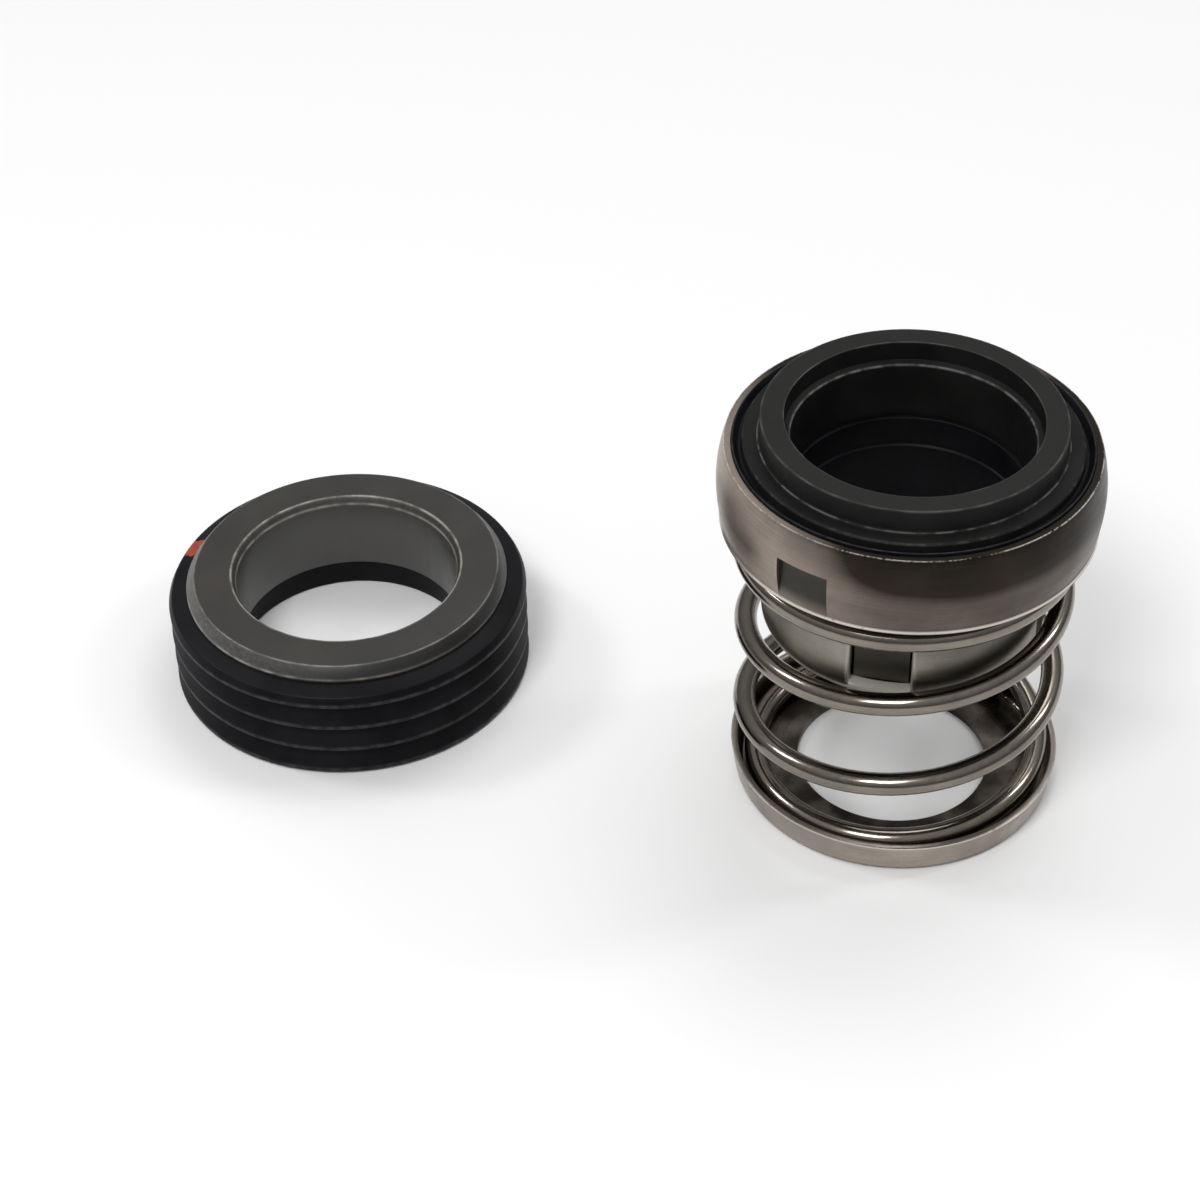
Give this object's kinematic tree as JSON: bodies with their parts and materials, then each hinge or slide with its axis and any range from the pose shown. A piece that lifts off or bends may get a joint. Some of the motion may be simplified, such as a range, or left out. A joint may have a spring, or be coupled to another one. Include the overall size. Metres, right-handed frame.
{
  "type": "component mechanical seal",
  "caption": "Rubber-bellows shaft seal: a spring-loaded rotary head with a lapped carbon ring, and the rubber-cupped stationary seat it runs against.",
  "frame": {"origin": "centre of the spring holder's bore, on its underside", "axes": "+Z along the shaft axis from the spring holder to the lapped face; the stationary seat lies on the same floor towards -X"},
  "size_m": [0.1191, 0.0616, 0.0545],
  "materials": {
    "pressed_steel": "brushed stainless steel, faint turning lines, worn bright at its edges",
    "spring_steel": "drawn stainless wire, smooth and bright",
    "black_rubber": "moulded black rubber, satin",
    "carbon": "turned carbon, matte, lapped on its nose",
    "seat_ceramic": "lapped dark grey seat ring, satin"
  },
  "bodies": {
    "base": {"spring_holder": "pressed_steel", "spring": "spring_steel", "mating_ring": "seat_ceramic", "seat_boot": "black_rubber"},
    "head": {"retainer": "pressed_steel", "bellows": "black_rubber", "primary_ring": "carbon"},
    "band": {"drive_band": "pressed_steel"}
  },
  "joints": [
    {"name": "compression", "type": "slide", "parent": "base", "child": "head", "axis": [0, 0, 1], "range_m": [-0.016, 0], "stiffness_N_per_m": 5000, "deforming": ["spring"]},
    {"name": "band_slip", "type": "slide", "parent": "head", "child": "band", "axis": [0, 0, 1], "range_m": [-0.003, 0], "stiffness_N_per_m": 2000, "deforming": ["bellows"]}
  ]
}
